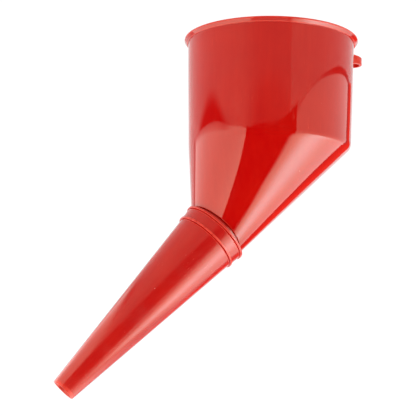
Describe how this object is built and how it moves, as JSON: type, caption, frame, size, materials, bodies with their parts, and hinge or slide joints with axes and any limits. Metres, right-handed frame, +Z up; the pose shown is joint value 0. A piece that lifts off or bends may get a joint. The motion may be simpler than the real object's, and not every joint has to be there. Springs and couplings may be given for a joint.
{
  "type": "offset fuel funnel",
  "caption": "Wide round bowl with a slanted base and a long tapered push-on spout set off to one side, with a lift-out gauze strainer and a hanging loop.",
  "frame": {"origin": "centre of the spout's mouth, the end that enters a filler neck", "axes": "+Z up with the bowl's rim level, +X from the spout's mouth towards the bowl, +Y across the funnel's plane of symmetry"},
  "size_m": [0.2855, 0.16, 0.3264],
  "materials": {
    "red_plastic": "glossy injection-moulded polypropylene",
    "brass_gauze": "fine plain-woven wire cloth"
  },
  "bodies": {
    "spout": {"spout": "red_plastic"},
    "bowl": {"bowl": "red_plastic"},
    "strainer": {"strainer_ring": "red_plastic", "strainer_gauze": "brass_gauze"}
  },
  "joints": [
    {"name": "bowl_pull", "type": "slide", "parent": "spout", "child": "bowl", "axis": [0.6884, 0, 0.7254], "range_m": [0, 0.04]},
    {"name": "strainer_lift", "type": "slide", "parent": "bowl", "child": "strainer", "axis": [0.6884, 0, 0.7254], "range_m": [0, 0.04]}
  ]
}
